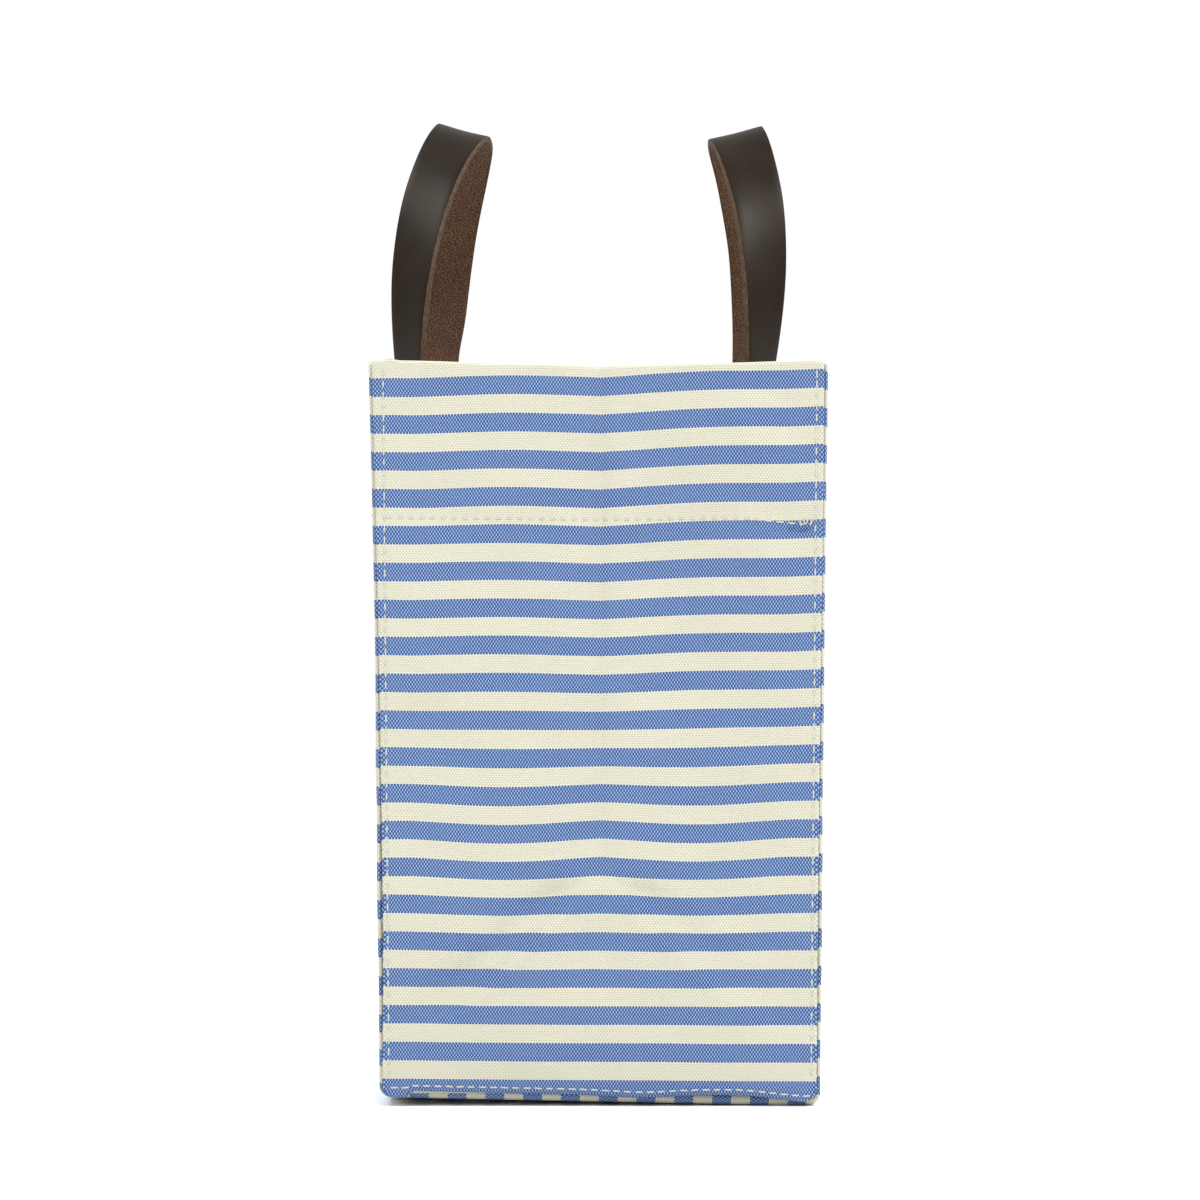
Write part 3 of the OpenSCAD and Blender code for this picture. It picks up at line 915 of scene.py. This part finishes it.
def strap_centre_line(side):
    """Centre line of one handle, from one sewn end up over the arch and down to the other."""
    reach, top, bow, sewn, power, bank = ARCHES[side]
    roots = []
    for root in (-1, 1):
        y = root * STRAP_SPACING / 2
        roots.append(face_distance(side, np.array(y), np.array(MOUTH)) - strap_depth())
    tail_z = np.linspace(TAIL_FOOT, MOUTH, 50)
    ends = []
    for root in (-1, 1):
        y = np.full_like(tail_z, root * STRAP_SPACING / 2)
        x = face_distance(side, y, tail_z) - strap_depth()
        ends.append(np.stack([x, y, tail_z], -1))
    s = np.linspace(0, 1, 401)
    c, u = np.cos(math.pi * s), np.sin(math.pi * s)
    middle = (roots[0] + roots[1]) / 2
    far = step_up(s, 0.4, 0.6)
    bulge = bow[0] + (bow[1] - bow[0]) * far
    x = middle + (roots[0] - roots[1]) / 2 * c + (reach - middle) * u * u + bulge * 4 * u * (1 - u)
    if side < 0:
        x = x + 2.2 * MM * far * bell(u - 0.13, 0.12)
    y = -STRAP_SPACING / 2 * (c - LEG_TUCK * c * (1 - c * c))
    z = FLEX_Z + (top - FLEX_Z) * u ** 0.85
    arch = np.stack([x, y, z], -1)
    k = np.abs(2 * s - 1)
    turned = np.where(s < 0.5, sewn[0] * k ** power[0], sewn[1] * k ** power[1])
    turn = 90 - turned + bank * (1 - k * k)
    line = np.concatenate([ends[0], arch, ends[1][::-1]])
    twist = np.concatenate([np.zeros(50), turn, np.zeros(50)])
    line[:, 0] *= side
    run = run_length(line)
    even = np.linspace(0, run[-1], 360)
    line = np.stack([np.interp(even, run, line[:, k]) for k in range(3)], -1)
    twist = np.interp(even, run, twist)
    kernel = np.hanning(15)
    kernel /= kernel.sum()
    height = line[:, 2]
    near = bell(height - FLEX_Z, 14 * MM)[:, None]
    padded = np.pad(line, ((7, 7), (0, 0)), mode="reflect", reflect_type="odd")
    smooth = np.stack([np.convolve(padded[:, k], kernel, mode="valid") for k in range(3)], -1)
    line = line * (1 - near) + smooth * near
    padded = np.pad(twist, 7, mode="edge")
    twist = np.convolve(padded, kernel, mode="valid")
    return line, twist, even


def strap_outline():
    """The strap's section: half width and half thickness shares, from the grain side round."""
    w, t, e = STRAP_W / 2, STRAP_T / 2, 0.55 * MM
    inner = np.linspace(-(w - e), w - e, 9)
    grain = [(a, t + 0.12 * MM * (1 - (a / w) ** 4) - 0.12 * MM) for a in inner]
    right = [(w - 0.16 * MM, t - 0.18 * MM), (w, t - e), (w + 0.05 * MM, 0),
             (w, e - t), (w - 0.2 * MM, 0.15 * MM - t)]
    flesh = [(a, -t) for a in inner[::-1]]
    left = [(-a, b) for a, b in right[::-1]]
    outline = np.array(grain + right + flesh + left)
    kinds = [0] * 9 + [2] * 5 + [1] * 8 + [2] * 5 + [0]
    return outline, kinds


def strap(name, side):
    """One handle's leather, from sewn end to sewn end."""
    line, twist, even = strap_centre_line(side)
    ahead = unit(np.gradient(line, axis=0))
    root_line = line[-1] - line[0]
    across = np.array([root_line[1], -root_line[0], 0]) * -side
    across = across / np.linalg.norm(across)
    inward = unit(across - (ahead @ across)[:, None] * ahead)
    over = np.cross(inward, ahead) * -side
    angle = np.radians(twist)[:, None]
    out = over * np.sin(angle) - inward * np.cos(angle)
    wide = np.cross(ahead, out)
    outline, kinds = strap_outline()
    draw = np.random.RandomState(5 + side)
    edge_wave = 0.08 * MM * ripple(even, draw.uniform(0, 1), 61 + side, 30 * MM)
    widen = (1 + edge_wave / STRAP_W * 2)[:, None, None]
    sections = (line[:, None] + outline[None, :, 0:1] * widen * wide[:, None]
                + outline[None, :, 1:2] * out[:, None])
    count, around = sections.shape[:2]
    faces = tube_grid(sections)
    run = run_length(np.vstack([outline, outline[:1]]))
    caps = len(faces) - (count - 1) * around
    flat = sections.reshape(-1, 3)[faces[-caps:].ravel()][:, 1:]
    uvs = np.concatenate([grid_corners(even, run), flat])
    material = np.concatenate([np.tile(kinds, count - 1), np.full(caps, 2)])
    return make_object(name, sections.reshape(-1, 3), faces, uvs, layer="strap",
                       materials=[GRAIN, FLESH, EDGE], face_material=material)


# ---------------------------------------------------------------- seam binding
def seam_binding(name, end):
    """Tape bound over the seam allowances, down one side, along the base and up the other."""
    width = 10 * MM
    edge_gap = 2.6 * MM                 # between the tape and the seam
    top = FACING_FOOT - 2.5 * MM
    foot = 4.2 * MM
    side_z = np.linspace(top, foot + width, 60)
    low_x = np.linspace(-1, 1, 70)
    corner = np.linspace(0, 1, 6)[1:-1]
    outer, inner = [], []
    for z in side_z:
        edge = half_depth(z) - edge_gap
        outer.append((-edge, z))
        inner.append((-edge + width, z))
    edge = half_depth(foot) - edge_gap
    for k in corner:
        outer.append((-edge + 0.8 * MM * k, foot + width * (1 - k)))
        inner.append((-edge + width, foot + width))
    for u in low_x:
        outer.append((u * (edge - 0.8 * MM), foot))
        inner.append((u * (edge - width), foot + width))
    half = len(side_z) + len(corner)
    outer += [(-a, b) for a, b in outer[:half][::-1]]
    inner += [(-a, b) for a, b in inner[:half][::-1]]
    outer, inner = np.array(outer), np.array(inner)
    near, far = 0.9 * MM, 2.7 * MM
    upper = [(0.0, 0.65), (0.03, 0.92), (0.1, 1.0), (0.35, 1.0),
             (0.65, 1.0), (0.9, 1.0), (0.97, 0.92), (1.0, 0.65)]
    lower = [(share, 1 - level) for share, level in upper]
    section = lower[:1] + upper + lower[:0:-1]
    sections = []
    for share, level in section:
        p = outer + (inner - outer) * share
        sections.append(gusset_point(p[:, 0], p[:, 1], end, near + (far - near) * level))
    sections = np.stack(sections, 1)
    run = run_length(outer)
    girth = run_length(np.array(section + section[:1])) * width
    faces = tube_grid(sections)
    corners = grid_corners(run, girth)
    caps = len(faces) - (len(run) - 1) * len(section)
    uvs = np.concatenate([corners, np.zeros((caps * 4, 2))])
    return make_object(name, sections.reshape(-1, 3), faces, uvs, materials=[TAPE])


# ---------------------------------------------------------------- the pieces
def place(piece, node, slot, body="bag"):
    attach(piece, body)
    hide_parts(node)
    return piece


body = place(body_panel(), "body_panel", "striped_canvas")
right = place(gusset("canvas_gusset_right", -1), "gusset_right", "striped_canvas")
left = place(gusset("canvas_gusset_left", 1), "gusset_left", "striped_canvas")
facing = place(mouth_facing(), "mouth_facing", "canvas_facing")
for side_name, end in (("right", -1), ("left", 1)):
    rows = gusset_stitching("thread_gusset_" + side_name, end)
    place(rows, "gusset_%s_stitching" % side_name, "sewing_thread")
    place(seam_binding("tape_" + side_name, end), "seam_binding_" + side_name, "binding_tape")
place(facing_stitching(), "facing_stitching", "sewing_thread")
for side_name, side in (("front", -1), ("back", 1)):
    node = "handle_" + side_name
    piece = strap("leather_" + node, side)
    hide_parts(node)
    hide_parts(node + "_tails")
    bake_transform(piece)
    rows = handle_stitching("thread_" + node, side)
    place(rows, node + "_stitching", "sewing_thread")


# ---------------------------------------------------------------- floor, light and camera
def studio():
    floor = make_object("floor", np.array([[-6, -6, 0], [6, -6, 0], [6, 6, 0], [-6, 6, 0]], float),
                        [[0, 1, 2, 3]], materials=[floor_material()])
    world = bpy.data.worlds.new("studio")
    world.use_nodes = True
    world.node_tree.nodes["Background"].inputs[0].default_value = (1, 1, 1, 1)
    world.node_tree.nodes["Background"].inputs[1].default_value = 1.0
    bpy.context.scene.world = world
    for name, place_at, size, power in (
            ("key", (0.35, -1.15, 2.1), 0.6, 36.0),
            ("fill", (-1.5, -1.5, 1.1), 0.9, 4.0),
            ("top_left", (-0.85, 0.25, 1.28), 0.3, 7.5),
            ("top_right", (0.98, 0.18, 1.22), 0.3, 13.0)):
        light = bpy.data.lights.new(name, "AREA")
        light.size = size
        light.energy = power
        lamp = bpy.data.objects.new(name, light)
        aim = np.array([0, 0, 0.15]) - np.array(place_at)
        lamp.location = place_at
        lamp.rotation_euler = Vector(aim).to_track_quat("-Z", "Y").to_euler()
        bpy.context.scene.collection.objects.link(lamp)


def camera():
    distance = 1200 * MM                # from the near gusset
    eye = 114.6 * MM
    pixels_up = 150                     # the horizon is this far below the frame's middle
    pixels_per_mm = 3.097
    frame_width = 1200
    focal = pixels_per_mm * distance / MM
    made = bpy.data.cameras.new("camera")
    made.sensor_width = 36
    made.lens = 36 * focal / frame_width
    made.clip_start = 0.05
    obj = bpy.data.objects.new("camera", made)
    obj.location = (0, -HALF_L - distance, eye)
    obj.rotation_euler = (math.pi / 2 + math.atan(pixels_up / focal), 0, 0)
    bpy.context.scene.collection.objects.link(obj)
    bpy.context.scene.camera = obj


studio()
camera()
bpy.context.scene.view_settings.view_transform = "Standard"
